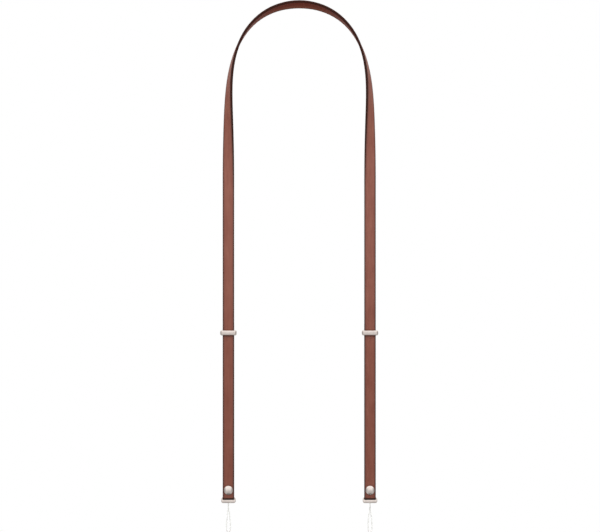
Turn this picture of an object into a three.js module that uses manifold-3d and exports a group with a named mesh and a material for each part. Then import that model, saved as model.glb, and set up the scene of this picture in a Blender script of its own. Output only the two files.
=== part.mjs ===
// A phone crossbody strap, hanging by its crown: a leather strip in an upside-down U, a metal keeper
// on each leg, and at each end a fold round a metal ring, a snap through the fold and a cord loop.
//
// Millimetres. +Z is up, the legs' front faces look along -Y, and the origin is the middle of the
// crown's underside, where a shoulder or a hook carries the strap.

import * as THREE from "three";
import * as BufferGeometryUtils from "three/addons/utils/BufferGeometryUtils.js";
import Module from "manifold-3d";

// ---------------------------------------------------------------- driving dimensions

const strap = { width: 12, thickness: 2.7, foldThickness: 1.3, edgeRadius: 0.7 };
const fitGap = 0.3; // between pieces that touch

const barDrop = 517.9; // from the crown's centre line down to the end ring's top bar
const snapDrop = 510.1; // down to the snap's axis
const keeperDrop = 345.3; // down to the keeper's middle
const tailLap = 14; // how far the tail's tip stands above the keeper's middle
const tipLength = 5; // the rounded end of the tail
const crownLean = { depth: 8, run: 170 }; // how far the crown stands back, and the run that eases it

// How the strap goes from the crown to the straight leg. along: distance from the crown, along the
// strap. slope: degrees that its centre line points below level. turn: degrees that its face has
// turned from the front (0) to the outside (90) and beyond it.
const crownRun = [
  { along: 0, slope: 0, turn: 119.5 },
  { along: 25, slope: 19.9, turn: 112 },
  { along: 50, slope: 42.2, turn: 99.5 },
  { along: 75, slope: 62.4, turn: 89 },
  { along: 100, slope: 76.5, turn: 78.5 },
  { along: 125, slope: 85.5, turn: 65 },
  { along: 150, slope: 89.4, turn: 50 },
  { along: 175, slope: 90, turn: 35 },
  { along: 205, slope: 90, turn: 17 },
  { along: 240, slope: 90, turn: 0 },
];

// The front layer of a leg over the end ring's top bar. above: height over the bar. thickness: of
// the leather, which is pared on its hidden side.
const paring = [
  { above: 0, thickness: strap.foldThickness },
  { above: 3.5, thickness: 2 },
  { above: 12, thickness: 2 },
  { above: 26, thickness: strap.thickness },
];
const tailSettles = 4.6; // height over the bar at which the tail lies against the front layer

// An end ring, seen from the front: a slim top bar inside the fold, two sides and a heavy bottom bar.
const ring = {
  width: 15.2,
  topBar: { height: 1.3, depth: 1.3, edge: 0.62 },
  side: { width: 1.3, depth: 2.6, edge: 0.6 },
  bottomBar: { height: 3.25, depth: 3.8, edge: 1 },
  corner: { top: 2.8, bottom: 1.9, inner: 0.5 },
};

const keeper = { height: 5.4, thickness: 2.4, rim: 0.8, corner: 0.6 };

// tilt: degrees at which the cap's dome meets its rim.
const snap = {
  cap: { radius: 4.65, rim: 0.5, edge: 0.25, tilt: 48 },
  post: { radius: 1.3, end: 0.3, edge: 0.3 },
  back: { radius: 3.3, thickness: 1.2, edge: 0.35 },
};

const cordDiameter = 1.05;
const cordSocket = { spread: 1.25, depth: 1.9, seated: 1.6 };

// One strand of the cord loop, from the end ring's underside to the loop's lowest point. The other
// strand is the same, turned half round, so the two leave the ring one behind the other and part
// lower down. out and back: from the loop's middle line. down: below the ring's underside.
const cordStrand = [
  { out: 0, back: 0.625, down: 0 },
  { out: 0.08, back: 0.62, down: 3 },
  { out: 0.32, back: 0.56, down: 6 },
  { out: 0.74, back: 0.36, down: 8.5 },
  { out: 1.04, back: 0.16, down: 11 },
  { out: 1.3, back: 0.05, down: 14 },
  { out: 1.62, back: 0, down: 18 },
  { out: 1.9, back: 0, down: 21 },
  { out: 2.05, back: 0, down: 24.2 },
  { out: 1.95, back: 0, down: 27.1 },
  { out: 1.6, back: 0, down: 28.85 },
  { out: 0.9, back: 0, down: 29.9 },
  { out: 0, back: 0, down: 30.25 },
];

// How finely each shape is divided.
const steps = {
  crown: 40,
  fold: 10,
  tip: 5,
  edge: 2,
  hole: 20,
  keeperCorner: 6,
  keeperDome: 10,
  ringCorner: 6,
  ringEdge: 3,
  capDome: 8,
  turned: 24,
  cord: 46,
  cordSides: 8,
};
const frontLayerHeights = [60, 32, 26, 22.5, 19, 15.5, 12, 8, 3.5, 2.3, 1.2];
const tailHeights = [0.8, 1.6, 2.4, 3.2, 4, 5, 8, 12, 15.5, 19, 22.5, 26, 32];

// ---------------------------------------------------------------- finishes

const leather = { color: 0x8d5f52, roughness: 0.55, metalness: 0 };
const metal = { color: 0xdcd6d2, roughness: 0.25, metalness: 1 };
const cord = { color: 0xe6e7e6, roughness: 0.9, metalness: 0 };

// ---------------------------------------------------------------- sums that several pieces share

const radians = THREE.MathUtils.degToRad;
const crownEnd = crownRun.at(-1).along;
const halfThickness = strap.thickness / 2;
const foldRadius = ring.topBar.height / 2 + fitGap; // inside of the fold, round the top bar
const foldOutside = foldRadius + strap.foldThickness;
const barBack = foldOutside - halfThickness; // the top bar's Y, with the fold's front face flush
const tailBack = halfThickness + fitGap + strap.foldThickness; // outside of the tail, behind the leg
const ringTop = ring.topBar.height / 2; // above the top bar's middle
const slotBottom = -(foldOutside + fitGap); // the ring's slot ends just below the fold
const ringBottom = slotBottom - ring.bottomBar.height;
const fullRound = 0.45; // the most of a strap's thickness or width that an edge's radius takes

// One column of a table at a distance along it, on a smooth curve through the rows. The curve goes
// on evenly before the first row, mirrored, and is level at the last.
function smoothValue(rows, key, column, at, mirrorSign = 1) {
  const place = Math.min(Math.max(at, rows[0][key]), rows.at(-1)[key]);
  const next = Math.max(1, rows.findIndex((row) => row[key] >= place));
  const mirrored = { [key]: 2 * rows[0][key] - rows[1][key], [column]: mirrorSign * rows[1][column] };
  const steepness = (index) => {
    if (index === rows.length - 1) return 0;
    const before = index === 0 ? mirrored : rows[index - 1];
    const after = rows[index + 1];
    return (after[column] - before[column]) / (after[key] - before[key]);
  };
  const span = rows[next][key] - rows[next - 1][key];
  const t = (place - rows[next - 1][key]) / span;
  const fromStart = (1 + 2 * t) * (1 - t) ** 2 * rows[next - 1][column];
  const fromEnd = t * t * (3 - 2 * t) * rows[next][column];
  const startPull = t * (1 - t) ** 2 * span * steepness(next - 1);
  const endPull = t * t * (t - 1) * span * steepness(next);
  return fromStart + fromEnd + startPull + endPull;
}

const slopeAt = (along) => radians(Math.min(90, smoothValue(crownRun, "along", "slope", along, -1)));
const turnAt = (along) => radians(smoothValue(crownRun, "along", "turn", along));
const thicknessAt = (above) => smoothValue(paring, "above", "thickness", above);

// The outline of a rounded rectangle about its middle, anticlockwise, each corner in some steps.
function roundedRectangle(width, height, radius, cornerSteps) {
  const outline = [];
  for (let corner = 0; corner < 4; corner += 1) {
    const side = corner === 0 || corner === 3 ? 1 : -1;
    const top = corner < 2 ? 1 : -1;
    for (let step = 0; step <= cornerSteps; step += 1) {
      const angle = (Math.PI / 2) * (corner + step / cornerSteps);
      const x = side * (width / 2 - radius) + radius * Math.cos(angle);
      const y = top * (height / 2 - radius) + radius * Math.sin(angle);
      outline.push(new THREE.Vector2(x, y));
    }
  }
  return outline;
}

// A closed skin through rings of points, all with the same number. It is capped at both ends, or its
// last ring joins its first.
function loft(rings, joined = false) {
  const sides = rings[0].length;
  const points = rings.flat();
  const faces = [];
  const lastRing = joined ? rings.length : rings.length - 1;
  for (let r = 0; r < lastRing; r += 1) {
    for (let s = 0; s < sides; s += 1) {
      const a = r * sides + s;
      const b = r * sides + ((s + 1) % sides);
      const c = ((r + 1) % rings.length) * sides + ((s + 1) % sides);
      const d = ((r + 1) % rings.length) * sides + s;
      faces.push(a, b, c, a, c, d);
    }
  }
  if (!joined) {
    for (let s = 1; s < sides - 1; s += 1) {
      const end = (rings.length - 1) * sides;
      faces.push(0, s + 1, s, end, end + s, end + s + 1);
    }
  }
  const geometry = new THREE.BufferGeometry();
  geometry.setAttribute("position", new THREE.Float32BufferAttribute(points.flatMap((p) => p.toArray()), 3));
  geometry.setIndex(faces);
  return geometry;
}

// ---------------------------------------------------------------- cutting

const wasm = await Module();
wasm.setup();

function toSolid(geometry) {
  const bare = geometry.clone();
  bare.deleteAttribute("normal");
  bare.deleteAttribute("uv");
  const merged = BufferGeometryUtils.mergeVertices(bare, 1e-4);
  const vertProperties = new Float32Array(merged.attributes.position.array);
  const triVerts = new Uint32Array(merged.index.array);
  return new wasm.Manifold(new wasm.Mesh({ numProp: 3, vertProperties, triVerts }));
}

function cutAway(geometry, cutters) {
  const left = cutters.reduce((solid, cutter) => solid.subtract(toSolid(cutter)), toSolid(geometry));
  const mesh = left.getMesh();
  const cut = new THREE.BufferGeometry();
  cut.setAttribute("position", new THREE.Float32BufferAttribute(mesh.vertProperties, 3));
  cut.setIndex(Array.from(mesh.triVerts));
  return cut;
}

// ---------------------------------------------------------------- strap

// The centre line from the crown to the straight leg, a point at each small step.
const lineStep = 0.5;
function traceCrown() {
  const line = [];
  let across = 0;
  let down = 0;
  for (let along = 0; along <= crownEnd; along += lineStep) {
    line.push({ across, down });
    const slope = slopeAt(along + lineStep / 2);
    across += Math.cos(slope) * lineStep;
    down += Math.sin(slope) * lineStep;
  }
  return line;
}

const crownLine = traceCrown();
const legAcross = crownLine.at(-1).across; // each leg's distance from the middle

const leanAt = (along) => {
  const share = Math.min(along / crownLean.run, 1);
  return (crownLean.depth / 2) * (1 + Math.cos(Math.PI * share));
};

// A cross-section of the strap: its middle, the way its face looks, the way its width goes, its size.
function crownSection(along) {
  const { across, down } = crownLine[Math.round(along / lineStep)];
  const slope = slopeAt(along);
  const leanRate = (leanAt(along + lineStep) - leanAt(Math.abs(along - lineStep))) / (2 * lineStep);
  const ahead = new THREE.Vector3(Math.cos(slope), leanRate, -Math.sin(slope)).normalize();
  const outside = new THREE.Vector3(Math.sin(slope), 0, Math.cos(slope));
  const turn = turnAt(along);
  const face = new THREE.Vector3(0, -Math.cos(turn), 0).addScaledVector(outside, Math.sin(turn));
  face.addScaledVector(ahead, -face.dot(ahead)).normalize();
  return {
    middle: new THREE.Vector3(across, leanAt(along), -down),
    face,
    side: new THREE.Vector3().crossVectors(face, ahead),
    width: strap.width,
    thickness: strap.thickness,
  };
}

// A cross-section in a leg, whose width lies along X, from the way that the strap goes on there.
function legSection(back, drop, ahead, thickness, width = strap.width) {
  const side = new THREE.Vector3(1, 0, 0);
  return {
    middle: new THREE.Vector3(legAcross, back, -drop),
    face: new THREE.Vector3().crossVectors(ahead.normalize(), side),
    side,
    width,
    thickness,
  };
}

function frontLayerSection(above) {
  const thickness = thicknessAt(above);
  const back = thickness / 2 - halfThickness;
  return legSection(back, barDrop - above, new THREE.Vector3(0, 0, -1), thickness);
}

function foldSection(degrees) {
  const angle = radians(degrees);
  const radius = foldRadius + strap.foldThickness / 2;
  const back = barBack - radius * Math.cos(angle);
  const drop = barDrop + radius * Math.sin(angle);
  const ahead = new THREE.Vector3(0, Math.sin(angle), -Math.cos(angle));
  return legSection(back, drop, ahead, strap.foldThickness);
}

// The tail's middle, behind the front layer: it comes off the fold and settles against the layer.
function tailBackAt(above) {
  const layerBack = thicknessAt(above) - halfThickness;
  const open = barBack + foldRadius - (strap.foldThickness - halfThickness + fitGap);
  const settled = THREE.MathUtils.smoothstep(above, 0, tailSettles);
  return layerBack + fitGap + strap.foldThickness / 2 + open * (1 - settled);
}

function tailSection(above, width = strap.width) {
  const reach = 0.2;
  const rise = tailBackAt(above + reach) - tailBackAt(above - reach);
  const ahead = new THREE.Vector3(0, rise, 2 * reach);
  return legSection(tailBackAt(above), barDrop - above, ahead, strap.foldThickness, width);
}

function evenly(from, to, count) {
  return Array.from({ length: count + 1 }, (_, i) => from + ((to - from) * i) / count);
}

// Half of the strap, from the crown down the front of one leg, round its fold and up its tail.
function halfStrapSections() {
  const tailTop = barDrop - keeperDrop + tailLap;
  const tip = evenly(0, 80, steps.tip).map((degrees) => ({
    above: tailTop - tipLength * (1 - Math.sin(radians(degrees))),
    width: strap.width * Math.cos(radians(degrees)),
  }));
  return [
    ...evenly(0, crownEnd, steps.crown).map(crownSection),
    ...frontLayerHeights.map(frontLayerSection),
    ...evenly(0, 180, steps.fold).map(foldSection),
    ...tailHeights.map((above) => tailSection(above)),
    ...tip.map(({ above, width }) => tailSection(above, width)),
  ];
}

function mirrorSection(section) {
  const mirror = new THREE.Vector3(-1, 1, 1);
  return {
    ...section,
    middle: section.middle.clone().multiply(mirror),
    face: section.face.clone().multiply(mirror),
    side: section.side.clone().multiply(mirror),
  };
}

function sectionRing({ middle, face, side, width, thickness }) {
  const radius = Math.min(strap.edgeRadius, fullRound * thickness, fullRound * width);
  return roundedRectangle(width, thickness, radius, steps.edge).map(({ x, y }) =>
    middle.clone().addScaledVector(side, x).addScaledVector(face, y),
  );
}

function makeStrap() {
  const half = halfStrapSections();
  const sections = [...half.slice(1).map(mirrorSection).reverse(), ...half];
  const skin = loft(sections.map(sectionRing));
  const radius = snap.post.radius + fitGap;
  const length = 4 * tailBack; // well past both layers
  const holes = [-1, 1].map((side) => {
    const hole = new THREE.CylinderGeometry(radius, radius, length, steps.hole);
    return hole.translate(side * legAcross, 0, -snapDrop);
  });
  return cutAway(skin, holes);
}

// ---------------------------------------------------------------- keeper

// A half-round band round both layers of a leg: flat inside, domed outside.
function makeKeeper() {
  const inner = {
    width: strap.width + 2 * fitGap,
    depth: halfThickness + tailBack + 2 * fitGap,
    middle: (tailBack - halfThickness) / 2,
  };
  const path = roundedRectangle(inner.width, inner.depth, keeper.corner, steps.keeperCorner);
  const dome = evenly(90, -90, steps.keeperDome).map((degrees) => ({
    out: keeper.rim + (keeper.thickness - keeper.rim) * Math.cos(radians(degrees)),
    up: (keeper.height / 2) * Math.sin(radians(degrees)),
  }));
  const section = [{ out: 0, up: keeper.height / 2 }, ...dome, { out: 0, up: -keeper.height / 2 }];
  const cornerSize = path.length / 4;
  const rings = path.map((point, index) => {
    const corner = Math.floor(index / cornerSize);
    const angle = (Math.PI / 2) * (corner + (index % cornerSize) / (cornerSize - 1));
    const out = new THREE.Vector3(Math.cos(angle), Math.sin(angle), 0);
    const foot = new THREE.Vector3(point.x, point.y + inner.middle, 0);
    return section.map((p) => foot.clone().addScaledVector(out, p.out).setZ(p.up));
  });
  return loft(rings, true);
}

// ---------------------------------------------------------------- end ring

// The ring is lofted round its slot. Each station runs from the slot's edge to the outline, with the
// metal's depth there and the radius of its edges. Its origin is the middle of the top bar.
function ringStations() {
  const slot = { right: ring.width / 2 - ring.side.width, top: -ringTop, bottom: slotBottom };
  const outline = { right: ring.width / 2, top: ringTop, bottom: ringBottom };
  const corners = [
    { side: 1, edge: "top", radius: ring.corner.top, from: ring.side, to: ring.topBar },
    { side: -1, edge: "top", radius: ring.corner.top, from: ring.topBar, to: ring.side },
    { side: -1, edge: "bottom", radius: ring.corner.bottom, from: ring.side, to: ring.bottomBar },
    { side: 1, edge: "bottom", radius: ring.corner.bottom, from: ring.bottomBar, to: ring.side },
  ];
  return corners.flatMap(({ side, edge, radius, from, to }, quarter) =>
    evenly(0, 1, steps.ringCorner).map((share) => {
      const angle = (Math.PI / 2) * (quarter + share);
      const way = new THREE.Vector2(Math.cos(angle), Math.sin(angle));
      const up = edge === "top" ? 1 : -1;
      const place = (box, round) =>
        new THREE.Vector2(side * (box.right - round), box[edge] - up * round).addScaledVector(way, round);
      return {
        inside: place(slot, ring.corner.inner),
        outside: place(outline, radius),
        depth: THREE.MathUtils.lerp(from.depth, to.depth, share),
        edge: THREE.MathUtils.lerp(from.edge, to.edge, share),
      };
    }),
  );
}

function cordSocketShape() {
  const radius = cordDiameter / 2 + fitGap;
  const shape = new THREE.Shape();
  shape.absarc(0, cordSocket.spread / 2, radius, 0, Math.PI);
  shape.absarc(0, -cordSocket.spread / 2, radius, Math.PI, 2 * Math.PI);
  return shape;
}

function makeEndRing() {
  const rings = ringStations().map(({ inside, outside, depth, edge }) => {
    const middle = inside.clone().add(outside).divideScalar(2);
    const across = outside.clone().sub(inside);
    const width = across.length();
    across.normalize();
    const radius = Math.min(edge, fullRound * width);
    return roundedRectangle(width, depth, radius, steps.ringEdge).map(
      ({ x, y }) => new THREE.Vector3(middle.x + across.x * x, y, middle.y + across.y * x),
    );
  });
  const below = 1;
  const socket = new THREE.ExtrudeGeometry(cordSocketShape(), {
    depth: cordSocket.depth + below,
    bevelEnabled: false,
    curveSegments: steps.cordSides,
  });
  socket.translate(0, 0, ringBottom - below);
  return cutAway(loft(rings, true), [socket]);
}

// ---------------------------------------------------------------- snap

// The snap's axis is Y, and its pieces stand at their distance from the leg's middle plane.
const snapBackPlace = tailBackAt(barDrop - snapDrop) + strap.foldThickness / 2 + fitGap;

function makeSnapCap() {
  const { cap, post } = snap;
  const seat = halfThickness + fitGap;
  const ballRadius = cap.radius / Math.sin(radians(cap.tilt));
  const ballMiddle = seat + cap.rim - ballRadius * Math.cos(radians(cap.tilt));
  const dome = evenly(0, cap.tilt, steps.capDome).map((degrees) => {
    const angle = radians(degrees);
    return new THREE.Vector2(ballRadius * Math.sin(angle), ballMiddle + ballRadius * Math.cos(angle));
  });
  const postEnd = -(snapBackPlace + snap.back.thickness - post.end);
  const profile = [
    new THREE.Vector2(0, postEnd),
    new THREE.Vector2(post.radius - post.edge, postEnd),
    new THREE.Vector2(post.radius, postEnd + post.edge),
    new THREE.Vector2(post.radius, seat),
    new THREE.Vector2(cap.radius - cap.edge, seat),
    new THREE.Vector2(cap.radius, seat + cap.edge),
    ...dome.reverse(),
  ];
  return new THREE.LatheGeometry(profile, steps.turned).rotateX(Math.PI);
}

function makeSnapBack() {
  const { radius, thickness, edge } = snap.back;
  const bore = snap.post.radius + fitGap;
  const near = snapBackPlace;
  const far = near + thickness;
  const profile = [
    new THREE.Vector2(bore, near),
    new THREE.Vector2(radius, near),
    new THREE.Vector2(radius, far - edge),
    new THREE.Vector2(radius - edge, far),
    new THREE.Vector2(bore + edge, far),
    new THREE.Vector2(bore, far - edge),
    new THREE.Vector2(bore, near),
  ];
  return new THREE.LatheGeometry(profile, steps.turned);
}

// ---------------------------------------------------------------- cord loop

// Down one strand, round the bottom and up the other. Its origin is the middle of the ring's top bar.
// sign: the leg's, so that the two loops mirror each other.
function makeCordLoop(sign) {
  const seat = { out: 0, back: cordSocket.spread / 2, down: -cordSocket.seated };
  const strand = [seat, ...cordStrand].map(
    ({ out, back, down }) => new THREE.Vector3(out, sign * back, ringBottom - down),
  );
  const other = strand.slice(0, -1).reverse().map((p) => new THREE.Vector3(-p.x, -p.y, p.z));
  const route = new THREE.CatmullRomCurve3([...strand, ...other], false, "centripetal");
  const circle = new THREE.EllipseCurve(0, 0, cordDiameter / 2, cordDiameter / 2);
  const section = new THREE.Shape(circle.getPoints(steps.cordSides).slice(0, steps.cordSides));
  return new THREE.ExtrudeGeometry(section, { steps: steps.cord, extrudePath: route, bevelEnabled: false });
}

// ---------------------------------------------------------------- assembly

function piece(name, geometry, { color, roughness, metalness }) {
  const mesh = new THREE.Mesh(geometry, new THREE.MeshStandardMaterial({ color, roughness, metalness }));
  mesh.name = name;
  return mesh;
}

function place(mesh, x, y, z) {
  mesh.position.set(x, y, z);
  return mesh;
}

const hanging = new THREE.Group();
hanging.add(piece("strap", makeStrap(), leather));

for (const [side, sign] of [["left", -1], ["right", 1]]) {
  const x = sign * legAcross;
  hanging.add(
    place(piece(`${side}_keeper`, makeKeeper(), metal), x, 0, -keeperDrop),
    place(piece(`${side}_end_ring`, makeEndRing(), metal), x, barBack, -barDrop),
    place(piece(`${side}_snap_cap`, makeSnapCap(), metal), x, 0, -snapDrop),
    place(piece(`${side}_snap_back`, makeSnapBack(), metal), x, 0, -snapDrop),
    place(piece(`${side}_cord_loop`, makeCordLoop(sign), cord), x, barBack, -barDrop),
  );
}

// The crown's underside comes to the origin.
const crown = crownSection(0);
hanging.position.copy(crown.middle).addScaledVector(crown.face, -halfThickness).negate();

const part = new THREE.Group();
part.add(hanging);

export default part;
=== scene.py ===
"""A phone crossbody strap that hangs by its crown.

One leather strip goes up and over in a tall arch. A metal keeper slides on each leg. At each end
the strip folds round the slim bar of a metal ring, a snap goes through the fold, and a thin white
cord loop hangs from the ring's heavy bar.

Everything is in metres, +Z up, with the legs' front faces towards -Y. The origin is the middle of
the crown's underside.
"""

import logging
import math
from dataclasses import dataclass, field
from enum import Enum
from itertools import pairwise
from typing import Callable, Sequence

import bpy
from mathutils import Euler, Matrix, Vector


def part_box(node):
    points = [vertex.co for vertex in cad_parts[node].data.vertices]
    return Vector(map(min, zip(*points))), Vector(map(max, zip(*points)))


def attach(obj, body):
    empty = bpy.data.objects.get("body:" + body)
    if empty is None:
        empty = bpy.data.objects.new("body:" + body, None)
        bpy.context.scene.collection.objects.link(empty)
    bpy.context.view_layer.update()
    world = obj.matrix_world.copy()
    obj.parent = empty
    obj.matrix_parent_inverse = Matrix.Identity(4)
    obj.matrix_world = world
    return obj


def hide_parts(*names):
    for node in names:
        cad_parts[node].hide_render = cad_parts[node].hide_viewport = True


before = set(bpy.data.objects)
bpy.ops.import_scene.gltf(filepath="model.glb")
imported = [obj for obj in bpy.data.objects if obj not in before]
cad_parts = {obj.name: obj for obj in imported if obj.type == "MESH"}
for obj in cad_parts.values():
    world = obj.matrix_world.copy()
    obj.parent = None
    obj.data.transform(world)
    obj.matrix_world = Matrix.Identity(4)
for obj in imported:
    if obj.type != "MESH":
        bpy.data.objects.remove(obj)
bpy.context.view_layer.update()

MM = 0.001
FULL_ROUND = 0.9999
"""The share of half an outline's size that rounds it fully and keeps its points apart."""
HALF_ROUND = 0.4999
"""The same share of its whole size."""
log = logging.getLogger("phone_strap")

Triple = tuple[float, float, float]
Colour = Triple
Stops = tuple[tuple[float, float], ...]
Socket = bpy.types.NodeSocket
Piece = bpy.types.Object


# ---------------------------------------------------------------- choices


class Leg(Enum):
    """Which leg of the strap a piece belongs to; the value starts its CAD nodes' names."""

    LEFT = "left"
    RIGHT = "right"

    @property
    def sign(self) -> int:
        """Return the side of the middle plane that the leg stands on."""
        return -1 if self is Leg.LEFT else 1

    def node(self, piece: str) -> str:
        """Return the name of this leg's CAD node for a piece."""
        return f"{self.value}_{piece}"


class Slot(Enum):
    """The record's material slots."""

    LEATHER = "leather"
    METAL = "metal"
    CORD = "cord"


ROOT_BODY = "strap_and_ends"


def screen_colour(red: int, green: int, blue: int) -> Colour:
    """Turn a colour as a screen shows it, 0 to 255, into the linear one that shaders use.

    Args:
        red: red, 0 to 255.
        green: green, 0 to 255.
        blue: blue, 0 to 255.

    Returns:
        The linear red, green and blue, 0 to 1.
    """

    def linear(value: int) -> float:
        share = value / 255
        return share / 12.92 if share <= 0.04045 else ((share + 0.055) / 1.055) ** 2.4

    return linear(red), linear(green), linear(blue)


# ---------------------------------------------------------------- the bench


def clear_selection() -> None:
    """Leave nothing selected, in object mode."""
    if bpy.context.object and bpy.context.object.mode != "OBJECT":
        bpy.ops.object.mode_set(mode="OBJECT")
    bpy.ops.object.select_all(action="DESELECT")


def open_for_edit(obj: Piece) -> None:
    """Make an object the only one selected and open its mesh for editing."""
    clear_selection()
    bpy.context.view_layer.objects.active = obj
    obj.select_set(True)
    bpy.ops.object.mode_set(mode="EDIT")


def take_primitive(name: str) -> Piece:
    """Name the primitive that was just added, settle it at the origin and open it for editing.

    Args:
        name: the piece's name.

    Returns:
        The piece, open for editing with all of its mesh selected.
    """
    obj = bpy.context.object
    obj.name = name
    obj.data.name = name
    bpy.ops.object.transform_apply(location=True, rotation=True, scale=True)
    open_for_edit(obj)
    bpy.ops.mesh.select_all(action="SELECT")
    return obj


def pick(obj: Piece, kind: str, wanted: Callable[[object], bool]) -> int:
    """Select the faces, edges or vertices of an open mesh that a test accepts, and no others.

    Args:
        obj: the piece that is open for editing.
        kind: FACE, EDGE or VERT.
        wanted: the test, which is given one element of the mesh.

    Returns:
        How many elements were selected.
    """
    bpy.ops.mesh.select_mode(type=kind)
    bpy.ops.mesh.select_all(action="DESELECT")
    bpy.ops.object.mode_set(mode="OBJECT")
    elements = {"FACE": obj.data.polygons, "EDGE": obj.data.edges, "VERT": obj.data.vertices}[kind]
    count = 0
    for element in elements:
        element.select = bool(wanted(element))
        count += element.select
    bpy.ops.object.mode_set(mode="EDIT")
    return count


def facing(direction: Vector) -> Callable[[bpy.types.MeshPolygon], bool]:
    """Return a test that accepts faces whose normal points in a direction."""
    return lambda face: face.normal.dot(direction) > 0.99


def turn_selected(turn: Matrix, centre: Vector) -> None:
    """Turn what is selected about a point, one axis after another.

    Args:
        turn: the rotation, as a 3 x 3 matrix.
        centre: the point that stays in place.
    """
    for axis, angle in zip("XYZ", turn.to_euler("XYZ")):
        if abs(angle) > 1e-7:
            bpy.ops.transform.rotate(
                value=-angle, orient_axis=axis, orient_type="GLOBAL", center_override=centre
            )


def resize_selected(across: float, up: float, centre: Vector) -> None:
    """Resize what is selected in its XY plane about a point."""
    bpy.ops.transform.resize(value=(across, up, 1), center_override=centre)


def apply_modifier(obj: Piece, kind: str, **settings: object) -> None:
    """Add a modifier with some settings to a piece and apply it.

    Args:
        obj: the piece.
        kind: the modifier's type.
        **settings: values for the modifier's own properties.
    """
    clear_selection()
    bpy.context.view_layer.objects.active = obj
    obj.select_set(True)
    bpy.ops.object.modifier_add(type=kind)
    modifier = obj.modifiers[-1]
    for key, value in settings.items():
        setattr(modifier, key, value)
    bpy.ops.object.modifier_apply(modifier=modifier.name)


def close_edit(obj: Piece, smooth_degrees: float) -> None:
    """Turn all faces outwards, close the mesh and shade it smooth up to an angle.

    Args:
        obj: the piece that is open for editing.
        smooth_degrees: edges that turn by less than this are shaded smooth.
    """
    bpy.ops.mesh.select_mode(type="FACE")
    bpy.ops.mesh.select_all(action="SELECT")
    bpy.ops.mesh.normals_make_consistent(inside=False)
    bpy.ops.object.mode_set(mode="OBJECT")
    bpy.ops.object.shade_smooth_by_angle(angle=math.radians(smooth_degrees))


def evenly(start: float, end: float, count: int) -> list[float]:
    """Return count + 1 values from start to end at even steps."""
    return [start + (end - start) * step / count for step in range(count + 1)]


def eased(share: float) -> float:
    """Return a share, held between 0 and 1, that starts and ends gently."""
    share = min(max(share, 0), 1)
    return share * share * (3 - 2 * share)


def running_length(places: Sequence[Vector]) -> list[float]:
    """Return the length along a row of places, from the first to each."""
    reached = [0.0]
    for one, other in pairwise(places):
        reached.append(reached[-1] + (other - one).length)
    return reached


def cad_box(node: str) -> tuple[Vector, Vector]:
    """Return the lowest and highest corner of a CAD node's box at rest."""
    low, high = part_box(node)
    return Vector(low), Vector(high)


def span_in_mm(obj: Piece) -> tuple[list[float], list[float]]:
    """Return a piece's lowest and highest corner in millimetres, for the log."""
    corners = [vertex.co for vertex in obj.data.vertices]
    low, high = (
        [round(choose(co[axis] for co in corners) / MM, 2) for axis in range(3)]
        for choose in (min, max)
    )
    return low, high


def middle_of_mesh(obj: Piece) -> Vector:
    """Return the mean of a mesh's points."""
    return sum((vertex.co for vertex in obj.data.vertices), Vector()) / len(obj.data.vertices)


# ---------------------------------------------------------------- sweeps


@dataclass(frozen=True)
class Outline:
    """A flat outline with rounded corners, drawn in the XY plane about the origin.

    It is width by height, its corners have a radius, and a number of spare points divide its
    straight top and bottom.
    """

    width: float
    height: float
    radius: float
    corner_steps: int = 4
    spare_points: int = 0

    def draw(self, name: str) -> Piece:
        """Draw the outline as one face and leave it open for editing.

        Args:
            name: the piece's name.

        Returns:
            The piece that the outline starts.
        """
        clear_selection()
        bpy.ops.mesh.primitive_plane_add(size=1)
        obj = take_primitive(name)
        bpy.ops.transform.resize(value=(self.width, self.height, 1))
        bpy.ops.mesh.bevel(
            offset=self.radius, segments=self.corner_steps, affect="VERTICES", clamp_overlap=True
        )
        bpy.ops.mesh.remove_doubles(threshold=0.002 * MM)
        if self.spare_points:
            pick(obj, "EDGE", self._runs_along_width(obj))
            bpy.ops.mesh.subdivide(number_cuts=self.spare_points)
        bpy.ops.mesh.select_all(action="SELECT")
        return obj

    def _runs_along_width(self, obj: Piece) -> Callable[[bpy.types.MeshEdge], bool]:
        """Return a test that accepts the outline's straight top and bottom."""

        def test(edge: bpy.types.MeshEdge) -> bool:
            one, other = (obj.data.vertices[index].co for index in edge.vertices)
            return abs(one.x - other.x) > self.width - 2.2 * self.radius

        return test


@dataclass(frozen=True)
class Domed:
    """A domed outline: flat at x = 0, upright for its rim, then domed to x = depth.

    A fullness of 0.5 makes a true half round, and more makes it squarer.
    """

    depth: float
    height: float
    rim: float
    fullness: float = 0.5
    steps: int = 10

    def draw(self, name: str) -> Piece:
        """Draw the outline as one face and leave it open for editing.

        Args:
            name: the piece's name.

        Returns:
            The piece that the outline starts.
        """
        clear_selection()
        half = self.height / 2
        stretch = (self.depth - self.rim) / half
        depth = self.depth / stretch
        bpy.ops.mesh.primitive_plane_add(size=1)
        obj = take_primitive(name)
        bpy.ops.transform.resize(value=(depth, self.height, 1))
        bpy.ops.transform.translate(value=(depth / 2, 0, 0))
        pick(obj, "VERT", lambda vertex: vertex.co.x > depth / 2)
        bpy.ops.mesh.bevel(
            offset=FULL_ROUND * half,
            segments=self.steps,
            profile=self.fullness,
            affect="VERTICES",
            clamp_overlap=True,
        )
        bpy.ops.mesh.select_all(action="SELECT")
        bpy.ops.mesh.remove_doubles(threshold=0.002 * MM)
        bpy.ops.transform.resize(value=(stretch, 1, 1), center_override=(0, 0, 0))
        return obj


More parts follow.
